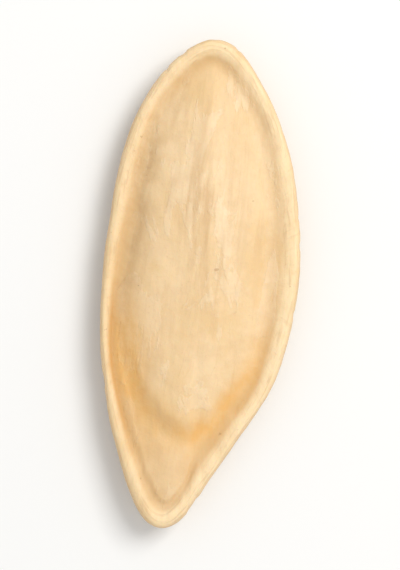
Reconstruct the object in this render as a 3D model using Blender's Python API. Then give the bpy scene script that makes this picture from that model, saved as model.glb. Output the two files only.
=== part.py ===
"""A pumpkin seed in its shell, lying on its broad side.

The shell is one closed piece: a domed face above and below, a raised rim all round with a groove inside it,
and a blunt pointed end where the seed grew on. The seed lies along Y, with its pointed end towards -Y and its
rounded end towards +Y. It rests on a small flat spot under the lower face. The origin is the middle of its
box, on the ground.
"""

import math

import bmesh
import bpy

# Driving dimensions, in millimetres
LENGTH = 23.0
UPPER_FACE = 1.45  # from the middle plane to the top of the upper face
LOWER_FACE = 1.35  # from the middle plane down to the flat spot
FLAT_DEPTH = 0.08  # how much of the lower face the flat spot takes off
RIM_HEIGHT = 0.58  # from the middle plane to the crest of the rim
GROOVE_HEIGHT = 0.41  # from the middle plane to the bottom of the groove
FOOT_HEIGHT = 0.49  # from the middle plane to the foot of the face
TONGUE_HEIGHT = 0.62  # from the middle plane to the flat tongue between the face and the pointed end
TONGUE_START = -7.5  # where along Y the face has sunk to the tongue
TONGUE_SLOPE = 1.3  # the length of the slope from the face down to the tongue
TONGUE_MIDDLE = -0.15  # where in X that slope reaches farthest towards the pointed end
TONGUE_BOW = (0.27, 0.27)  # how far it draws back on the left and on the right, for each square millimetre
END_LIFT = 0.16  # how far the two ends curl up from the middle plane
TWIST = 0.10  # how far the pointed end is turned against the rounded end
WARP = 0.05  # how far the shell's edge waves up and down
FACE_WAVE = 0.035  # the depth of the shallow furrows along the face

# Place of the seed's axis in X at its pointed end, its middle and its rounded end
AXIS = ((-1.0, -0.80), (0.0, -0.56), (1.0, -0.30))

# How full the outline is on each side of the axis, by place from the pointed end (-1) to the rounded end (1).
# The half width at a place is its fullness times the half width of a unit circle there.
FULL_RIGHT = (
    (-1.0, 3.15),
    (-0.83, 3.20),
    (-0.64, 3.86),
    (-0.41, 4.76),
    (-0.16, 5.07),
    (0.09, 5.12),
    (0.39, 4.98),
    (0.69, 4.62),
    (0.91, 4.00),
    (1.0, 3.90),
)
FULL_LEFT = (
    (-1.0, 3.15),
    (-0.86, 3.18),
    (-0.51, 3.67),
    (-0.31, 3.90),
    (-0.04, 4.03),
    (0.24, 4.15),
    (0.52, 4.38),
    (0.80, 4.50),
    (1.0, 4.10),
)

# How far in from the edge the crest of the rim lies, on each side, by the same places
RIM_RIGHT = ((-1.0, 0.50), (-0.6, 0.34), (0.0, 0.42), (0.5, 0.36), (0.85, 0.34), (1.0, 0.46))
RIM_LEFT = ((-1.0, 0.50), (-0.6, 0.30), (-0.2, 0.23), (0.1, 0.28), (0.5, 0.36), (0.85, 0.36), (1.0, 0.46))

# How far in from the edge the bottom of the groove lies, on each side, by the same places
GROOVE_RIGHT = ((-1.0, 1.12), (-0.85, 1.06), (-0.4, 1.00), (0.1, 1.22), (0.5, 1.08), (0.8, 1.00), (1.0, 1.12))
GROOVE_LEFT = ((-1.0, 1.12), (-0.8, 0.86), (-0.4, 0.62), (0.0, 0.80), (0.4, 1.01), (0.8, 0.92), (1.0, 1.12))
FOOT_BEYOND = 0.36  # how far in from there the face has its foot

# The mesh: columns round the edge, and rings from the edge to the middle of each face
COLUMNS = 92
RIM_RINGS = (0.0, 0.04, 0.16, 0.45, 1.0)  # in rim widths in from the edge, to the crest of the rim
GROOVE_RINGS = 3  # from there to the bottom of the groove
FLOOR_RINGS = 2  # from there to the foot of the face
FACE_RINGS = 14
MIDDLE = (-0.15, 0.6)  # where the rings close, at the highest point of the face

MILLIMETRE = 0.001


def smooth_value(stations, place):
    """Read a smooth curve through the stations, each a place and a value."""
    last = len(stations) - 1
    i = 0
    while i < last - 1 and place > stations[i + 1][0]:
        i += 1

    def slope(k):
        before = stations[max(k - 1, 0)]
        after = stations[min(k + 1, last)]
        return (after[1] - before[1]) / (after[0] - before[0])

    start, end = stations[i], stations[i + 1]
    span = end[0] - start[0]
    t = (place - start[0]) / span
    return (
        start[1] * (1 + 2 * t) * (1 - t) ** 2
        + slope(i) * span * t * (1 - t) ** 2
        + end[1] * t * t * (3 - 2 * t)
        - slope(i + 1) * span * t * t * (1 - t)
    )


def smooth_step(start, end, value):
    """Rise from 0 at start to 1 at end."""
    t = min(max((value - start) / (end - start), 0.0), 1.0)
    return t * t * (3 - 2 * t)


def edge_point(angle):
    """Give the outline's point for an angle round the seed, from +X towards +Y."""
    place = math.sin(angle)
    across = math.cos(angle)
    fullness = smooth_value(FULL_RIGHT if across > 0 else FULL_LEFT, place)
    return smooth_value(AXIS, place) + fullness * across, LENGTH / 2 * place


def insets(angle):
    """Give how far in from the edge the rim's crest, the groove's bottom and the face's foot lie."""
    on_right = math.cos(angle) > 0
    crest = smooth_value(RIM_RIGHT if on_right else RIM_LEFT, math.sin(angle))
    groove = smooth_value(GROOVE_RIGHT if on_right else GROOVE_LEFT, math.sin(angle))
    return crest, groove, groove + FOOT_BEYOND


def inward(angle):
    """Give the part of the line from the edge to the middle that leads a millimetre in from the edge."""
    small = 0.02
    x0, y0 = edge_point(angle - small)
    x1, y1 = edge_point(angle + small)
    x, y = edge_point(angle)
    along = math.hypot(x1 - x0, y1 - y0)
    normal = ((y1 - y0) / along, (x0 - x1) / along)
    return 1 / ((x - MIDDLE[0]) * normal[0] + (y - MIDDLE[1]) * normal[1])


def rim_height(inset, crest, groove, foot):
    """Give the height of the rim and the groove at an inset from the edge."""
    if inset < crest:
        return RIM_HEIGHT * (1 - (1 - inset / crest) ** 2.4) ** (1 / 2.4)
    if inset < groove:
        return RIM_HEIGHT - (RIM_HEIGHT - GROOVE_HEIGHT) * smooth_step(crest, groove, inset)
    return GROOVE_HEIGHT + (FOOT_HEIGHT - GROOVE_HEIGHT) * ((inset - groove) / (foot - groove)) ** 2


def tongue_gap(x, y):
    """Give how far a place lies from the bowed line where the face has sunk to the tongue."""
    across = x - TONGUE_MIDDLE
    bow = TONGUE_BOW[0] if across < 0 else TONGUE_BOW[1]
    return (y - TONGUE_START - bow * across**2) / math.hypot(1, 2 * bow * across)


def face_height(x, y, outward, top):
    """Give the face's height inside its foot, where outward runs from 0 at the middle to 1 at the foot."""
    dome = FOOT_HEIGHT + (top - FOOT_HEIGHT) * (1 - outward**2.8) ** 1.05
    furrows = FACE_WAVE * math.sin(2.3 * x + 0.25 * y + 0.8)
    furrows *= smooth_step(0.0, 0.3, outward) * (1 - outward**4)
    tongue = FOOT_HEIGHT + (TONGUE_HEIGHT - FOOT_HEIGHT) * smooth_step(1.0, 0.8, outward)
    return tongue + (dome + furrows - tongue) * smooth_step(0.0, TONGUE_SLOPE, tongue_gap(x, y))


def middle_plane(x, y, angle):
    """Give the height of the shell's middle plane, which dries a little bowed, twisted and wavy."""
    along = 2 * y / LENGTH
    out = min(1.0, (x / 4) ** 2 + (y / 10) ** 2)
    return END_LIFT * along**2 + TWIST * along * x / 5 + WARP * math.sin(3 * angle + 0.6) * out


def seed_point(ring, angle, side):
    """Give a point of the shell: ring 0 is the edge, the last ring the middle, and side 1 is above."""
    edge_x, edge_y = edge_point(angle)
    crest, groove, foot = insets(angle)
    crest_ring = len(RIM_RINGS) - 1
    groove_ring = crest_ring + GROOVE_RINGS
    foot_ring = groove_ring + FLOOR_RINGS
    if ring <= crest_ring:
        inset = RIM_RINGS[ring] * crest
    elif ring <= groove_ring:
        inset = crest + (groove - crest) * (ring - crest_ring) / GROOVE_RINGS
    else:
        inset = groove + (foot - groove) * min(1.0, (ring - groove_ring) / FLOOR_RINGS)
    outward = 1 - max(0, ring - foot_ring) / FACE_RINGS
    to_edge = (1 - inset * inward(angle)) * outward
    x = MIDDLE[0] + (edge_x - MIDDLE[0]) * to_edge
    y = MIDDLE[1] + (edge_y - MIDDLE[1]) * to_edge
    if ring < foot_ring:
        height = rim_height(inset, crest, groove, foot)
    else:
        height = face_height(x, y, outward, UPPER_FACE if side > 0 else LOWER_FACE + FLAT_DEPTH)
    z = side * height + middle_plane(x, y, angle)
    return x, y, max(z, -LOWER_FACE)


def seed_mesh():
    """Shape a sphere into the seed: its equator becomes the edge, and its poles the faces' middles."""
    rings = len(RIM_RINGS) - 1 + GROOVE_RINGS + FLOOR_RINGS + FACE_RINGS
    bm = bmesh.new()
    bmesh.ops.create_uvsphere(bm, u_segments=COLUMNS, v_segments=2 * rings, radius=1.0)
    for vert in bm.verts:
        angle = math.atan2(vert.co.y, vert.co.x)
        latitude = math.asin(max(-1.0, min(1.0, vert.co.z))) / (math.pi / 2)
        ring = round(abs(latitude) * rings)
        vert.co = seed_point(ring, angle, 1 if latitude >= 0 else -1)
    low = [min(vert.co[i] for vert in bm.verts) for i in range(3)]
    high = [max(vert.co[i] for vert in bm.verts) for i in range(3)]
    for vert in bm.verts:
        vert.co.x = (vert.co.x - (low[0] + high[0]) / 2) * MILLIMETRE
        vert.co.y = (vert.co.y - (low[1] + high[1]) / 2) * MILLIMETRE
        vert.co.z = (vert.co.z - low[2]) * MILLIMETRE
    flat_spot = [face for face in bm.faces if all(vert.co.z < MILLIMETRE / 1000 for vert in face.verts)]
    bmesh.ops.dissolve_faces(bm, faces=flat_spot)
    bmesh.ops.triangulate(bm, faces=[face for face in bm.faces if len(face.verts) == 4])
    bmesh.ops.recalc_face_normals(bm, faces=bm.faces)
    mesh = bpy.data.meshes.new("pumpkin_seed")
    bm.to_mesh(mesh)
    bm.free()
    mesh.shade_smooth()
    return mesh


def shell_material():
    """Make the dry cream shell's material."""
    material = bpy.data.materials.new("seed_coat")
    material.use_nodes = True
    shader = material.node_tree.nodes["Principled BSDF"]
    shader.inputs["Base Color"].default_value = (0.86, 0.62, 0.35, 1.0)
    shader.inputs["Roughness"].default_value = 0.55
    shader.inputs["Metallic"].default_value = 0.0
    return material


for old in list(bpy.data.objects):
    bpy.data.objects.remove(old, do_unlink=True)

collection = bpy.data.collections.new("Pumpkin seed")
bpy.context.scene.collection.children.link(collection)

seed = bpy.data.objects.new("pumpkin_seed", seed_mesh())
seed.data.materials.append(shell_material())
collection.objects.link(seed)
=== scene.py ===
import math

import bmesh
import bpy
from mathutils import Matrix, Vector, noise


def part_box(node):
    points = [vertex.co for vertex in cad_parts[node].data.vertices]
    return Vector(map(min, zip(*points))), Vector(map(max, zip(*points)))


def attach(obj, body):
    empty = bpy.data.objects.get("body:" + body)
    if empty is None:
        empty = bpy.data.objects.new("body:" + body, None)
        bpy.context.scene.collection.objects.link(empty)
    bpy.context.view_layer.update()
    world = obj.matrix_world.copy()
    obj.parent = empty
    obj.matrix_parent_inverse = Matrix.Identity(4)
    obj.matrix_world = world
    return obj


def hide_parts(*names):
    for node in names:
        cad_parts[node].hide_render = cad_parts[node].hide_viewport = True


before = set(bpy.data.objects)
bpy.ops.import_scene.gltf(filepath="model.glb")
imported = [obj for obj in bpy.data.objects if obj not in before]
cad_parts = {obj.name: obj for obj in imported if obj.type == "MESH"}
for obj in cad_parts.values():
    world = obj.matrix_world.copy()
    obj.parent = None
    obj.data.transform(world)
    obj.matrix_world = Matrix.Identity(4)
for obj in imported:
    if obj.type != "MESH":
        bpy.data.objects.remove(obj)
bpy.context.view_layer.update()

# The seed coat
# A pumpkin seed's coat is one closed woody skin that dried round the kernel: two domed faces, a raised rim
# with a groove inside it, and a blunt tongue at the end where it grew on. It lies loose, on its lower face.
# Lengths here are millimetres, as on the solid it covers; a place runs from -1 at the pointed end to 1.
MILLIMETRE = 0.001
low_corner, high_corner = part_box("pumpkin_seed")
LENGTH = (high_corner.y - low_corner.y) / MILLIMETRE

# Heights from the middle plane of the coat
UPPER_FACE = 1.45
LOWER_FACE = 1.35  # down to the flat spot
FLAT_DEPTH = 0.08  # how much of the lower face the flat spot takes off
RIM_HEIGHT = 0.58
GROOVE_HEIGHT = 0.41
FOOT_HEIGHT = 0.49
TONGUE_HEIGHT = 0.62

WALL_ROUNDNESS = 2.4  # at 2 the outer wall would be a quarter of an ellipse
DOME_POWERS = (2.8, 1.05)  # how the face falls from its middle to its foot
TONGUE_START = -7.5  # where along the seed the face has sunk to the tongue
TONGUE_MIDDLE = -0.15
TONGUE_BOW = 0.27  # how the line there bows up to both sides
TONGUE_SLOPE = 1.3  # the face rises from that line over this length
TONGUE_BLEND = 1.5  # and the groove's floor starts to level out at this one
END_LIFT = 0.16  # how far both ends lift
TWIST = 0.02  # how far the ends turn, a millimetre out from the middle
WARP = 0.05  # the height of waves round the seed
WARP_WAVES = (3, 0.6)  # how many there are, and where they start
WARP_REACH = (4, 10)  # how far out, across and along, they are full
FACE_WAVE = 0.035  # the height of the face's furrows
FACE_FURROWS = (2.3, 0.25, 0.8)  # their turn to a millimetre across and along, and where they start

# The seed's axis, and how full the outline is on each side of it, by place along the seed
AXIS = ((-1.0, -0.80), (0.0, -0.56), (1.0, -0.30))
FULL_RIGHT = (
    (-1.0, 3.15),
    (-0.83, 3.20),
    (-0.64, 3.86),
    (-0.41, 4.76),
    (-0.16, 5.07),
    (0.09, 5.12),
    (0.39, 4.98),
    (0.69, 4.62),
    (0.91, 4.00),
    (1.0, 3.90),
)
FULL_LEFT = (
    (-1.0, 3.15),
    (-0.86, 3.18),
    (-0.51, 3.67),
    (-0.31, 3.90),
    (-0.04, 4.03),
    (0.24, 4.15),
    (0.52, 4.38),
    (0.80, 4.50),
    (1.0, 4.10),
)

# How far in from the edge the rim's crest and the groove's bottom lie, by place along the seed
RIM_RIGHT = ((-1.0, 0.50), (-0.6, 0.34), (0.0, 0.42), (0.5, 0.36), (0.85, 0.34), (1.0, 0.46))
RIM_LEFT = ((-1.0, 0.50), (-0.6, 0.30), (-0.2, 0.23), (0.1, 0.28), (0.5, 0.36), (0.85, 0.36), (1.0, 0.46))
GROOVE_RIGHT = ((-1.0, 1.12), (-0.85, 1.06), (-0.4, 1.00), (0.1, 1.22), (0.5, 1.08), (0.8, 1.00), (1.0, 1.12))
GROOVE_LEFT = ((-1.0, 1.12), (-0.8, 0.86), (-0.4, 0.62), (0.0, 0.80), (0.4, 1.01), (0.8, 0.92), (1.0, 1.12))
FOOT_BEYOND = 0.36  # how far inside the groove's bottom the face's foot lies
MIDDLE = (-0.15, 0.6)  # where the lines in from the edge meet

# How much those lines and the face's foot wander, as a share of their distance, and how often to a radian
CREST_WANDER = (0.18, 6.5)
GROOVE_WANDER = (0.13, 4.5)
FOOT_WANDER = (0.4, 3.5)

# The skin's mesh: columns round the edge, and rings up the outer wall, down into the groove, over its floor
# and on up the face
COLUMNS = 400
WALL_RINGS = 14
GROOVE_RINGS = 14
FLOOR_RINGS = 9
FACE_RINGS = 76
RINGS = WALL_RINGS + GROOVE_RINGS + FLOOR_RINGS + FACE_RINGS
WALL_CROWDING = 1.2  # how far the wall's rings crowd to the edge

# How the fibres run: they narrow to this share of their width at the ends, and the two faces' fibres differ
GRAIN_ENDS = 0.35
GRAIN_APART = 3.0


def smooth_value(stations, place):
    """Read a smooth curve through the stations, each a place and a value."""
    last = len(stations) - 1
    i = 0
    while i < last - 1 and place > stations[i + 1][0]:
        i += 1

    def slope(k):
        before = stations[max(k - 1, 0)]
        after = stations[min(k + 1, last)]
        return (after[1] - before[1]) / (after[0] - before[0])

    start, end = stations[i], stations[i + 1]
    span = end[0] - start[0]
    t = (place - start[0]) / span
    return (
        start[1] * (1 + 2 * t) * (1 - t) ** 2
        + slope(i) * span * t * (1 - t) ** 2
        + end[1] * t * t * (3 - 2 * t)
        - slope(i + 1) * span * t * t * (1 - t)
    )


def smooth_step(start, end, value):
    """Rise from 0 at start to 1 at end."""
    t = min(max((value - start) / (end - start), 0.0), 1.0)
    return t * t * (3 - 2 * t)


def bell(centre, width, value):
    """Rise to 1 at the centre and fall to nothing about two widths away."""
    return math.exp(-(((value - centre) / width) ** 2))


def lumps(x, y, level):
    """Give even natural lumps, about one to a unit of length, between -1 and 1. Each level has its own."""
    return noise.noise(Vector((x, y, level)))


def round_lumps(kind, angle, level):
    """Give lumps by the angle round the seed: a kind says how high they are, and how many to a radian."""
    height, often = kind
    return height * lumps(often * math.cos(angle), often * math.sin(angle), level)


def edge_point(angle):
    """Give the outline's point for an angle round the seed, from +X towards +Y."""
    place = math.sin(angle)
    across = math.cos(angle)
    fullness = smooth_value(FULL_RIGHT if across > 0 else FULL_LEFT, place)
    return smooth_value(AXIS, place) + fullness * across, LENGTH / 2 * place


def inward(angle):
    """Give the part of the line from the edge to the middle that leads a millimetre in from the edge."""
    small = 0.02
    x0, y0 = edge_point(angle - small)
    x1, y1 = edge_point(angle + small)
    x, y = edge_point(angle)
    along = math.hypot(x1 - x0, y1 - y0)
    normal = ((y1 - y0) / along, (x0 - x1) / along)
    return 1 / ((x - MIDDLE[0]) * normal[0] + (y - MIDDLE[1]) * normal[1])


def insets(angle, side):
    """Give how far in from the edge the rim's crest, the groove's bottom and the face's foot lie.

    All three wander a little on the way round, as on a grown thing.
    """
    place = math.sin(angle)
    on_right = math.cos(angle) > 0
    level = 3 * side
    crest = smooth_value(RIM_RIGHT if on_right else RIM_LEFT, place)
    crest *= 1 + round_lumps(CREST_WANDER, angle, level)
    groove = smooth_value(GROOVE_RIGHT if on_right else GROOVE_LEFT, place)
    groove *= 1 + round_lumps(GROOVE_WANDER, angle, level + 1)
    return crest, groove, groove + FOOT_BEYOND * (1 + round_lumps(FOOT_WANDER, angle, level + 2))


def rim_height(inset, crest, groove, foot, on_tongue):
    """Give the height of the rim and the groove at an inset from the edge.

    The groove's floor climbs steeper and steeper to the face, and levels out where it runs on to the tongue.
    """
    if inset < crest:
        return RIM_HEIGHT * (1 - (1 - inset / crest) ** WALL_ROUNDNESS) ** (1 / WALL_ROUNDNESS)
    if inset < groove:
        return RIM_HEIGHT - (RIM_HEIGHT - GROOVE_HEIGHT) * smooth_step(crest, groove, inset)
    climb = (inset - groove) / (foot - groove)
    climb = climb**2 + (smooth_step(0.0, 1.0, climb) - climb**2) * on_tongue
    return GROOVE_HEIGHT + (FOOT_HEIGHT - GROOVE_HEIGHT) * climb


def tongue_gap(x, y):
    """Give how far a place lies from the bowed line where the face has sunk to the tongue."""
    across = x - TONGUE_MIDDLE
    return (y - TONGUE_START - TONGUE_BOW * across**2) / math.hypot(1, 2 * TONGUE_BOW * across)


def face_height(x, y, outward, top):
    """Give the face's height inside its foot, where outward runs from 0 at the middle to 1 at the foot."""
    inner, outer = DOME_POWERS
    dome = FOOT_HEIGHT + (top - FOOT_HEIGHT) * (1 - outward**inner) ** outer
    across, along, start = FACE_FURROWS
    furrows = FACE_WAVE * math.sin(across * x + along * y + start)
    furrows *= smooth_step(0.0, 0.3, outward) * (1 - outward**4)
    tongue = FOOT_HEIGHT + (TONGUE_HEIGHT - FOOT_HEIGHT) * smooth_step(1.0, 0.8, outward)
    return tongue + (dome + furrows - tongue) * smooth_step(0.0, TONGUE_SLOPE, tongue_gap(x, y))


def middle_plane(x, y, angle):
    """Give the height of the coat's middle plane, which dries a little bowed, twisted and wavy."""
    along = 2 * y / LENGTH
    out = min(1.0, (x / WARP_REACH[0]) ** 2 + (y / WARP_REACH[1]) ** 2)
    waves, start = WARP_WAVES
    return END_LIFT * along**2 + TWIST * along * x + WARP * math.sin(waves * angle + start) * out


def ring_place(ring, crest, groove, foot):
    """Give a ring's inset from the edge, and how far out from the middle it lies, 1 at the face's foot."""
    if ring <= WALL_RINGS:
        climb = ring / WALL_RINGS * math.pi / 2
        return crest * (1 - max(0.0, math.cos(climb)) ** (1 / WALL_CROWDING)), 1.0
    ring -= WALL_RINGS
    if ring <= GROOVE_RINGS:
        return crest + (groove - crest) * ring / GROOVE_RINGS, 1.0
    ring -= GROOVE_RINGS
    if ring <= FLOOR_RINGS:
        return groove + (foot - groove) * ring / FLOOR_RINGS, 1.0
    return foot, 1 - (ring - FLOOR_RINGS) / FACE_RINGS


# The coat's own relief on the faces: how high each kind stands
SWELLING = 0.040  # slow lumps, where the coat dried on the kernel
DIMPLES = 0.016
FIBRES = 0.007

# The lumps that each is made of: how many to a millimetre across and along, their level, and their share
SWELLING_LUMPS = ((0.42, 0.26, 0, 1.0), (0.9, 0.6, 4, 0.4))
DIMPLE_LUMPS = ((1.9, 1.1, 6, 1.0), (3.6, 2.4, 7, 0.5))
FIBRE_LUMPS = ((3.0, 0.35, 8, 1.0), (6.0, 0.8, 9, 0.6))
FIBRE_SWAY = (0.35, 0.5, 2)  # how far the fibres sway, how often, and the level
SIDE_LEVEL = 11.0  # keeps the lower face's lumps apart from the upper face's

# Its relief round the rim: how high each kind stands, and how many lumps go to a radian
CREST_LUMPS = (0.030, 11)
CREST_GRAINS = (0.018, 34)
THREADS = (0.018, 3.5)  # fine ridges along the rim
WRINKLES = (0.018, 24)  # across the groove
EDGE_WANDER = (0.030, 4)
WALL_CRUMPLE = (0.016, 22)

# How fast three of them change: to a millimetre across the rim, from its crest to the groove's bottom, and
# to a millimetre up the wall
THREADS_ACROSS = 5
WRINKLES_ACROSS = 1.2
CRUMPLE_UP = 2.6

GROOVE_FILL = 0.045  # how much shallower the groove is at the upper right
NICK_DEPTH = 0.04  # small chips out of the edge
NICK_LUMPS = (1.0, 13)  # a chip is where these stand highest
SEAM_DEPTH = 0.030  # the line round the outer wall, where the two halves of the coat meet
SEAM_WIDTH = 0.045
SEAM_SWAY = (0.05, 5)
SEAM_GAPS = (1.0, 7)  # the seam nearly closes up where these stand lowest
SEAM_CLOSED = 0.25  # how open it stays there
SCAR_DEPTH = 0.10  # the slit in the wall at the pointed end, where the stalk let go
SCAR_SIZE = (0.50, 0.16)  # along the wall and up it
SCAR_END = -10.5  # the scar lies beyond this place along the seed


def face_lumps(kinds, x, y, level):
    """Add up the kinds of lumps at a place."""
    return sum(share * lumps(across * x, along * y, level + own) for across, along, own, share in kinds)


def face_relief(spot, level):
    """Give the relief of the faces at a spot."""
    x, y = spot["x"], spot["y"]
    u, v, _ = spot["grain"]
    far, often, own = FIBRE_SWAY
    sway = far * lumps(often * u, often * v, level + own)
    swelling = SWELLING * face_lumps(SWELLING_LUMPS, x, y, level)
    dimples = DIMPLES * face_lumps(DIMPLE_LUMPS, x, y, level)
    return swelling + dimples + FIBRES * face_lumps(FIBRE_LUMPS, u + sway, v, level)


def relief(spot):
    """Give how far the coat's surface stands out of its smooth form at a spot."""
    arc, dip, rim_part = spot["arc"], spot["dip"], spot["rim_part"]
    level = SIDE_LEVEL * spot["side"]
    on_face = smooth_step(1.0, 0.93, spot["outward"])
    on_wall = smooth_step(0.9, 0.2, rim_part)
    on_rim = smooth_step(1.0, 0.5, dip)
    on_crest = smooth_step(0.1, 0.8, rim_part) * smooth_step(0.8, 0.1, dip)
    in_groove = smooth_step(0.2, 0.8, dip) * (1 - on_face)
    across_rim = spot["around"][2]

    out = face_relief(spot, level) * on_face
    out += round_lumps(CREST_LUMPS, arc, level) * on_crest
    out += round_lumps(CREST_GRAINS, arc, level) * on_crest
    out += round_lumps(THREADS, arc, THREADS_ACROSS * across_rim + level) * on_rim
    out += round_lumps(WRINKLES, arc, WRINKLES_ACROSS * dip + level) * in_groove
    out += GROOVE_FILL * upper_right(spot["x"], spot["y"]) * groove_line(spot, 1.0, 0.6)
    out += round_lumps(EDGE_WANDER, arc, 7) * on_wall
    out += round_lumps(WALL_CRUMPLE, arc, CRUMPLE_UP * spot["height"]) * on_wall
    out -= NICK_DEPTH * smooth_step(0.28, 0.55, round_lumps(NICK_LUMPS, arc, 60)) * on_wall
    out -= SEAM_DEPTH * seam_at(spot)
    out -= SCAR_DEPTH * scar_at(spot)
    return out


def seam_at(spot):
    """Give how open the seam is at a spot: it wanders a little, and nearly closes up in places."""
    height = round_lumps(SEAM_SWAY, spot["arc"], 44)
    openness = smooth_step(-0.25, 0.35, round_lumps(SEAM_GAPS, spot["arc"], 40))
    openness = SEAM_CLOSED + (1 - SEAM_CLOSED) * openness
    return openness * bell(height, SEAM_WIDTH, spot["side"] * spot["height"])


def scar_at(spot):
    """Give how deep in the scar a spot is, from 0 outside it to 1 in its middle."""
    if spot["y"] > SCAR_END or spot["rim_part"] > 1.0:
        return 0.0
    tip_x = AXIS[0][1]
    along = (spot["x"] - tip_x) / SCAR_SIZE[0]
    up = spot["height"] / SCAR_SIZE[1]
    return math.exp(-(along**4 + up**2))


def groove_line(spot, centre, width):
    """Rise to 1 on a line along the groove, placed from the rim's crest at 0 to the groove's bottom at 1."""
    return bell(centre, width, spot["dip"]) if spot["outward"] == 1.0 else 0.0


def upper_right(x, y):
    """Rise to 1 over the fuller side's upper part, where the groove is faint."""
    return smooth_step(-2.0, 1.0, x) * smooth_step(-3.0, 1.0, y) * smooth_step(10.5, 8.5, y)


# Patches of colour on the faces: the strength, then the middle and the spread across and along the seed
PALE_PATCHES = (
    (1.3, (-1.9, 1.1), (0.6, 3.2)),
    (0.8, (0.4, 0.9), (7.8, 2.0)),
    (0.6, (-0.9, 1.1), (-2.6, 2.0)),
    (0.6, (-0.45, 0.42), (-9.0, 1.2)),
)
TONGUE_STREAK = (0.7, (-0.45, 0.42), (-9.0, 1.2))
STROKE_PATCH = (1.0, (-0.1, 1.3), (3.6, 3.6))
# Painted shade: a warm amber patch on the lower left slope, which faces away from the light
LEFT_SLOPE_SHADE_PATCH = (0.45, (-3.2, 1.1), (-2.2, 2.0))

# The marks that the coat's mesh carries for its colours
MARKS = (
    "groove",
    "crease_shade",
    "edge",
    "crest",
    "rim",
    "amber_and_shade",
    "shade",
    "tongue",
    "pale",
    "strokes",
    "seam",
    "scar",
)


def patch(kind, x, y):
    """Rise to a patch's strength in its middle, and fall away by its spread."""
    strength, across, along = kind
    return strength * bell(*across, x) * bell(*along, y)


def amber_and_shade_at(spot, groove, inside, left, low_left, low_down):
    """Give how amber a spot is: the coat's own amber round the foot of the face low down, and painted warm
    shade on the lower left slope and in the left groove.
    """
    x, y = spot["x"], spot["y"]
    # The band is widened on the lower left, and the groove on the left is tinted, as painted warm shade on
    # the side away from the light
    foot_band = smooth_step(0.78 - 0.24 * low_left, 1.0, spot["outward"]) * inside
    flank = (0.5 + 0.35 * low_left) * foot_band + 0.25 * groove * left
    flank *= low_down * (1 - 0.5 * smooth_step(-4.0, -6.5, y))
    arc = 0.76 * bell(0.50, 0.72, tongue_gap(x, y)) * inside * smooth_step(-1.0, -5.0, y)
    return min(1.0, arc + flank + patch(LEFT_SLOPE_SHADE_PATCH, x, y) * inside)


def marks_at(spot):
    """Give how strongly each of the coat's marks shows at a spot."""
    x, y, dip = spot["x"], spot["y"], spot["dip"]
    left = smooth_step(1.0, -2.0, x)
    low_left = left * bell(-2.6, 2.2, y)
    low_down = smooth_step(1.0, -5.0, y) * smooth_step(-10.0, -7.0, y)
    pointed = smooth_step(-8.0, -10.0, y)
    inside = smooth_step(0.3, 1.0, dip)
    groove = groove_line(spot, 0.95, 0.45)
    # A brown line along the groove low on the left: painted shade in the crease there
    crease_shade = groove_line(spot, 0.80, 0.30) * smooth_step(0.5, -2.0, y) * smooth_step(-8.5, -6.0, y)
    crest = smooth_step(0.0, 0.6, spot["rim_part"]) * smooth_step(0.7, 0.15, dip)
    shade = smooth_step(0.80, 0.95, spot["outward"]) * inside * smooth_step(9.5, 5.5, y)
    tongue = smooth_step(0.5, -0.5, tongue_gap(x, y)) * inside
    return {
        # The groove's tan line is painted shade in the hollow, kept faint on the upper right, which faces the
        # light
        "groove": groove * (1 - 0.9 * upper_right(x, y)) * (1 - 0.5 * pointed) * (1 - 0.5 * low_left),
        "crease_shade": crease_shade * left,
        # Painted shade: the low outer wall is tinted tan, darker towards the floor
        "edge": smooth_step(0.52, 0.20, spot["height"]),
        # The crest is really paler than the face; it is dimmed on the left, so its right side carries a
        # painted highlight
        "crest": crest * (1 - 0.35 * left),
        "rim": smooth_step(0.9, 0.4, dip),
        "amber_and_shade": amber_and_shade_at(spot, groove, inside, left, low_left, low_down),
        "shade": shade * left * (1 - low_down),
        "tongue": tongue * (1 - patch(TONGUE_STREAK, x, y)),
        "pale": sum(patch(kind, x, y) for kind in PALE_PATCHES),
        "strokes": patch(STROKE_PATCH, x, y),
        "seam": seam_at(spot),
        "scar": scar_at(spot),
    }


def edge_columns():
    """Give what each column of the mesh needs to know of the edge, on the way round from +X."""
    angles = [2 * math.pi * column / COLUMNS for column in range(COLUMNS)]
    edge = [edge_point(angle) for angle in angles]
    lengths = [0.0]
    for start, end in zip(edge, edge[1:] + edge[:1]):
        lengths.append(lengths[-1] + math.hypot(end[0] - start[0], end[1] - start[1]))
    girth = lengths.pop()
    radius = girth / (2 * math.pi)
    columns = []
    for angle, point, length in zip(angles, edge, lengths):
        column = {"angle": angle, "edge": point, "reach": inward(angle), "arc": length / radius}
        column["around"] = (radius * math.cos(column["arc"]), radius * math.sin(column["arc"]))
        column["insets"] = {side: insets(angle, side) for side in (-1, 1)}
        columns.append(column)
    return columns


def coat_spot(column, way_in, side):
    """Describe a spot of the smooth form by its column, its way in from the edge (0 to 1) and its side."""
    crest, groove, foot = column["insets"][side]
    inset, outward = ring_place(round(way_in * RINGS), crest, groove, foot)
    to_edge = (1 - inset * column["reach"]) * outward
    x, y = (middle + (out - middle) * to_edge for middle, out in zip(MIDDLE, column["edge"]))
    if inset < foot:
        on_tongue = smooth_step(TONGUE_BLEND, 0.0, tongue_gap(x, y))
        height = rim_height(inset, crest, groove, foot, on_tongue)
    else:
        height = face_height(x, y, outward, UPPER_FACE if side > 0 else LOWER_FACE + FLAT_DEPTH)
    place = max(-1.0, min(1.0, 2 * y / LENGTH))
    narrowing = GRAIN_ENDS + (1 - GRAIN_ENDS) * math.sqrt(1 - place * place)
    return {
        "x": x,
        "y": y,
        "z": side * height + middle_plane(x, y, column["angle"]),
        "side": side,
        "height": height,
        "outward": outward,
        "rim_part": inset / crest,
        "dip": (inset - crest) / (groove - crest),
        "arc": column["arc"],
        "grain": ((x - smooth_value(AXIS, place)) / narrowing, y, GRAIN_APART * side),
        "around": (*column["around"], side * (inset + height)),
    }


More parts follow.
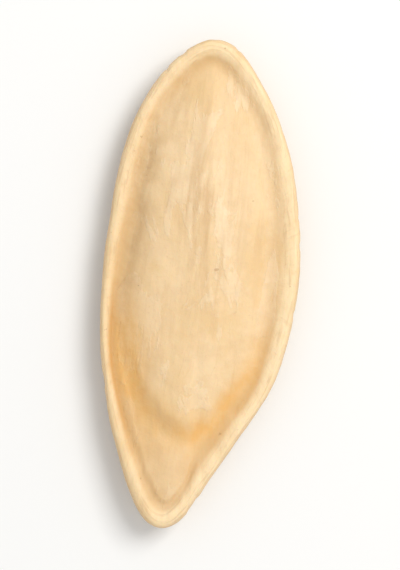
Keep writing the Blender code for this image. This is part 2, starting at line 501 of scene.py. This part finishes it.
def coat_mesh():
    """Shape a sphere into the coat: its equator becomes the edge, and its poles the faces' middles."""
    columns = edge_columns()
    edge_x = [column["edge"][0] for column in columns]
    centre_x = (min(edge_x) + max(edge_x)) / 2
    bm = bmesh.new()
    bmesh.ops.create_uvsphere(bm, u_segments=COLUMNS, v_segments=2 * RINGS, radius=1.0)
    spots = []
    for vert in bm.verts:
        column = columns[round(math.atan2(vert.co.y, vert.co.x) / (2 * math.pi) * COLUMNS) % COLUMNS]
        latitude = math.asin(max(-1.0, min(1.0, vert.co.z))) / (math.pi / 2)
        spot = coat_spot(column, abs(latitude), 1 if latitude >= 0 else -1)
        vert.co = (spot["x"], spot["y"], spot["z"])
        spots.append(spot)

    bm.normal_update()
    runs = {name: bm.verts.layers.float_vector.new(name) for name in ("grain", "around")}
    layers = {name: bm.verts.layers.float.new(name) for name in MARKS}
    normals = [vert.normal.copy() for vert in bm.verts]
    for vert, spot, normal in zip(bm.verts, spots, normals):
        for name, layer in runs.items():
            vert[layer] = spot[name]
        for name, value in marks_at(spot).items():
            vert[layers[name]] = value
        vert.co += normal * relief(spot)
        vert.co.x = (vert.co.x - centre_x) * MILLIMETRE
        vert.co.y = vert.co.y * MILLIMETRE
        vert.co.z = (max(vert.co.z, -LOWER_FACE) + LOWER_FACE) * MILLIMETRE
    bmesh.ops.recalc_face_normals(bm, faces=bm.faces)
    mesh = bpy.data.meshes.new("seed_coat")
    bm.to_mesh(mesh)
    bm.free()
    mesh.shade_smooth()
    return mesh


# The coat's finish: dry cream skin with paler films and tan strokes, amber round the foot of the face where
# it runs out on the tongue, and ivory along the rim. Painted shade darkens the groove, the crease low on the
# left, the left slopes and the low outer wall, and the crest carries a painted highlight on its right side
CREAM = (0.80, 0.555, 0.28, 1.0)
PALE_CREAM = (0.865, 0.64, 0.375, 1.0)
FILM_WHITE = (0.90, 0.71, 0.47, 1.0)
TAN = (0.66, 0.43, 0.215, 1.0)
SHADE_TAN = (0.62, 0.40, 0.19, 1.0)
# The coat's own amber round the tongue, also used as painted warm shade on the lower left
AMBER_AND_WARM_SHADE = (0.82, 0.47, 0.155, 1.0)
TONGUE_TAN = (0.78, 0.53, 0.275, 1.0)
# Painted shade for the groove's hollow, and also the seam's own darker line
GROOVE_SHADE_AND_SEAM_TAN = (0.68, 0.42, 0.175, 1.0)
# Painted shade for the crease low on the left
CREASE_SHADE_BROWN = (0.60, 0.31, 0.085, 1.0)
IVORY = (0.94, 0.74, 0.45, 1.0)
SPECK_BROWN = (0.40, 0.23, 0.10, 1.0)

# Its patterns: what each runs along, how often it repeats in the run's directions, its detail and distortion.
# The run "place" is in metres, and the others in millimetres.
PATTERNS = {
    "mottle": ("place", (300.0, 300.0, 300.0), 4.0, 0.0),
    "clouds": ("place", (1100.0, 1100.0, 1100.0), 3.0, 0.0),
    "grit": ("place", (7000.0, 7000.0, 7000.0), 2.0, 0.0),
    "specks": ("place", (2300.0, 2300.0, 2300.0), 2.0, 0.0),
    "streaks": ("grain", (1.5, 0.20, 1.0), 5.0, 0.5),
    "hairs": ("grain", (5.0, 1.3, 1.0), 3.0, 0.8),
    "veins": ("grain", (1.3, 0.16, 1.0), 3.0, 1.2),
    "film": ("grain", (0.55, 0.24, 1.0), 6.0, 0.5),
    "fringe": ("around", (4.5, 4.5, 0.9), 3.0, 0.4),
    "threads": ("around", (0.6, 0.6, 7.0), 4.0, 0.3),
    "blotches": ("around", (0.8, 0.8, 1.2), 4.0, 0.0),
}
PATTERN_ROUGHNESS = 0.6
PATTERN_MIDDLE = 0.5
OFF_RIM = ("streaks", "hairs", "film")
FILM_EDGE = (0.535, 0.547)

# Its layers of colour from the bottom up: the colour, the mark it keeps to, the pattern it follows, two of
# the pattern's values, and its strength at each. A layer with no mark covers the whole coat, and one with no
# pattern has one strength.
LAYERS = (
    (PALE_CREAM, None, "mottle", (0.35, 0.65), (0.0, 1.0)),
    (PALE_CREAM, "pale", "clouds", (0.25, 0.65), (0.2, 0.9)),
    (FILM_WHITE, None, "film", FILM_EDGE, (0.0, 0.38)),
    (TAN, None, "clouds", (0.42, 0.72), (0.0, 0.26)),
    (TAN, None, "streaks", (0.50, 0.74), (0.0, 0.34)),
    (TAN, "strokes", "streaks", (0.42, 0.62), (0.0, 0.72)),
    (TAN, None, "hairs", (0.56, 0.80), (0.0, 0.13)),
    (TAN, "faces", "from_vein", (0.0, 0.014), (0.17, 0.0)),
    (TONGUE_TAN, "tongue", None, None, 0.6),
    (AMBER_AND_WARM_SHADE, "amber_and_shade", "uneven", (0.80, 1.20), (0.65, 1.0)),
    (SHADE_TAN, "shade", "clouds", (0.25, 0.70), (0.15, 0.55)),
    # Painted shade in the groove's hollow
    (GROOVE_SHADE_AND_SEAM_TAN, "groove", "mottle", (0.30, 0.70), (0.75, 0.40)),
    (IVORY, "crest", "blotches", (0.30, 0.60), (0.35, 0.85)),
    (CREASE_SHADE_BROWN, "crease_shade", None, None, 0.75),
    # Painted shade on the low outer wall, near the floor
    (TAN, "edge", None, None, 0.42),
    (TAN, None, "along_rim", (0.50, 0.66), (0.0, 0.45)),
    (TAN, None, "across_rim", (0.54, 0.72), (0.0, 0.20)),
    (GROOVE_SHADE_AND_SEAM_TAN, "seam", None, None, 0.65),
    (TAN, None, "grit", (0.62, 0.78), (0.0, 0.30)),
    (SPECK_BROWN, None, "specks", (0.74, 0.79), (0.0, 0.45)),
    (SPECK_BROWN, "scar", None, None, 1.0),
)

# Its fine bumps from the bottom up: the pattern, the strength, and the height in metres
BUMPS = (
    ("hairs", 0.22, 0.00003),
    ("film_rise", 0.8, 0.000015),
    ("along_rim", 0.7, 0.00005),
    ("across_rim", 0.35, 0.00004),
    ("specks", 0.5, 0.00004),
    ("grit", 0.55, 0.00002),
)
ROUGHNESS = (0.50, 0.64)
FILM_SATIN = -0.10  # how much smoother the films are


def add_node(tree, kind, sockets=None, **settings):
    """Add a node to a material, with its settings, and its sockets set or linked by name or number."""
    node = tree.nodes.new(kind)
    for name, value in settings.items():
        setattr(node, name, value)
    for name, value in (sockets or {}).items():
        if isinstance(value, bpy.types.NodeSocket):
            tree.links.new(value, node.inputs[name])
        else:
            node.inputs[name].default_value = value
    return node


def from_mesh(tree, name, output):
    """Read what the coat's mesh carries under a name."""
    return add_node(tree, "ShaderNodeAttribute", attribute_name=name).outputs[output]


def between(tree, value, start, end, low=0.0, high=1.0):
    """Stretch a value's range from start to end over low to high, smoothly."""
    sockets = {"Value": value, "From Min": start, "From Max": end, "To Min": low, "To Max": high}
    return add_node(tree, "ShaderNodeMapRange", sockets, interpolation_type="SMOOTHSTEP").outputs["Result"]


def work_out(tree, operation, first, second):
    """Work out one value from two, as by MULTIPLY or ADD."""
    return add_node(tree, "ShaderNodeMath", {0: first, 1: second}, operation=operation).outputs[0]


def coat_patterns(tree, marks):
    """Make the coat's patterns, by name."""
    runs = {name: from_mesh(tree, name, "Vector") for name in ("grain", "around")}
    runs["place"] = add_node(tree, "ShaderNodeTexCoord").outputs["Object"]
    patterns = {}
    for name, (run, scale, detail, distortion) in PATTERNS.items():
        scaled = add_node(tree, "ShaderNodeMapping", {"Vector": runs[run], "Scale": scale}).outputs[0]
        sockets = {"Vector": scaled, "Scale": 1.0, "Detail": detail, "Roughness": PATTERN_ROUGHNESS}
        sockets["Distortion"] = distortion
        patterns[name] = add_node(tree, "ShaderNodeTexNoise", sockets).outputs["Fac"]
    for name in OFF_RIM:
        patterns[name] = between(tree, marks["rim"], 0.0, 1.0, patterns[name], PATTERN_MIDDLE)
    from_middle = work_out(tree, "SUBTRACT", patterns["veins"], PATTERN_MIDDLE)
    patterns["from_vein"] = work_out(tree, "ABSOLUTE", from_middle, 0.0)
    patterns["uneven"] = work_out(tree, "ADD", patterns["clouds"], patterns["streaks"])
    patterns["along_rim"] = work_out(tree, "MULTIPLY", marks["rim"], patterns["threads"])
    patterns["across_rim"] = work_out(tree, "MULTIPLY", marks["rim"], patterns["fringe"])
    patterns["film_rise"] = between(tree, patterns["film"], 0.53, 0.56)
    return patterns


def coat_colour(tree, marks, patterns):
    """Lay the coat's colours over each other."""
    colour = CREAM
    for over, mark, pattern, span, strength in LAYERS:
        amount = between(tree, patterns[pattern], *span, *strength) if pattern else strength
        if mark:
            amount = work_out(tree, "MULTIPLY", marks[mark], amount)
        mix = add_node(tree, "ShaderNodeMix", data_type="RGBA", sockets={0: amount, 6: colour, 7: over})
        colour = mix.outputs[2]
    return colour


def coat_normal(tree, patterns):
    """Put the coat's fine bumps on each other."""
    sockets = {}
    for pattern, strength, distance in BUMPS:
        sockets.update({"Height": patterns[pattern], "Strength": strength, "Distance": distance})
        sockets["Normal"] = add_node(tree, "ShaderNodeBump", sockets).outputs[0]
    return sockets["Normal"]


def coat_material():
    """Make the dry coat's material."""
    material = bpy.data.materials.new("seed_coat")
    material.use_nodes = True
    tree = material.node_tree
    shader = tree.nodes["Principled BSDF"]
    marks = {name: from_mesh(tree, name, "Fac") for name in MARKS}
    marks["faces"] = between(tree, marks["rim"], 0.0, 1.0, 1.0, 0.0)
    patterns = coat_patterns(tree, marks)
    tree.links.new(coat_colour(tree, marks, patterns), shader.inputs["Base Color"])
    tree.links.new(coat_normal(tree, patterns), shader.inputs["Normal"])
    satin = between(tree, patterns["film"], *FILM_EDGE, 0.0, FILM_SATIN)
    roughness = work_out(tree, "ADD", between(tree, patterns["hairs"], 0.3, 0.7, *ROUGHNESS), satin)
    tree.links.new(roughness, shader.inputs["Roughness"])
    shader.inputs["Specular IOR Level"].default_value = 0.4
    shader.inputs["Subsurface Weight"].default_value = 0.15
    shader.inputs["Subsurface Radius"].default_value = (1.0, 0.55, 0.25)
    shader.inputs["Subsurface Scale"].default_value = 0.0004
    return material


coat = bpy.data.objects.new("seed_coat", coat_mesh())
coat.data.materials.append(coat_material())
bpy.context.scene.collection.objects.link(coat)
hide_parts("pumpkin_seed")
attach(coat, "root")

# The floor
# A plain pale sheet that the seed lies on, wide enough to fill every view.
FLOOR_SIZE = 1.2
FLOOR_COLOUR = (0.90, 0.90, 0.89, 1.0)


def floor_piece():
    """Make the plain pale floor."""
    bm = bmesh.new()
    bmesh.ops.create_grid(bm, x_segments=1, y_segments=1, size=FLOOR_SIZE)
    mesh = bpy.data.meshes.new("floor")
    bm.to_mesh(mesh)
    bm.free()
    material = bpy.data.materials.new("pale_floor")
    material.use_nodes = True
    shader = material.node_tree.nodes["Principled BSDF"]
    shader.inputs["Base Color"].default_value = FLOOR_COLOUR
    shader.inputs["Roughness"].default_value = 0.9
    mesh.materials.append(material)
    floor = bpy.data.objects.new("floor", mesh)
    bpy.context.scene.collection.objects.link(floor)
    return floor


floor_piece()

# The light
# A soft box high on the upper right and a pale room, as on a light table.
KEY_PLACE = Vector((0.11, 0.10, 0.21))
KEY_SIZE = 0.12
KEY_POWER = 0.40
KEY_COLOUR = (1.0, 0.985, 0.96)
ROOM_COLOUR = (1.0, 1.0, 1.0, 1.0)
ROOM_LIGHT = 0.65


def key_light():
    """Make the square soft box, turned to the seed."""
    lamp = bpy.data.lights.new("key_light", "AREA")
    lamp.shape = "SQUARE"
    lamp.size = KEY_SIZE
    lamp.energy = KEY_POWER
    lamp.color = KEY_COLOUR
    box = bpy.data.objects.new("key_light", lamp)
    box.location = KEY_PLACE
    box.rotation_euler = (-KEY_PLACE).to_track_quat("-Z", "Y").to_euler()
    bpy.context.scene.collection.objects.link(box)


key_light()
room = bpy.data.worlds.new("room")
room.use_nodes = True
room.node_tree.nodes["Background"].inputs["Color"].default_value = ROOM_COLOUR
room.node_tree.nodes["Background"].inputs["Strength"].default_value = ROOM_LIGHT
bpy.context.scene.world = room
bpy.context.scene.view_settings.view_transform = "Standard"

# The camera
# It looks straight down, as in the photograph, and is turned so that the rounded end leans 5.5 degrees right.
LEAN = math.radians(5.5)
FRAME_HEIGHT = 0.027
LENS = 100.0
SENSOR_HEIGHT = 24.0
NEAREST = 0.005

camera_data = bpy.data.cameras.new("camera")
camera_data.sensor_fit = "VERTICAL"
camera_data.sensor_height = SENSOR_HEIGHT
camera_data.lens = LENS
camera_data.clip_start = NEAREST
camera = bpy.data.objects.new("camera", camera_data)
camera.location = (0.0, 0.0, FRAME_HEIGHT * LENS / SENSOR_HEIGHT)
camera.rotation_euler = (0.0, 0.0, LEAN)
bpy.context.scene.collection.objects.link(camera)
bpy.context.scene.camera = camera
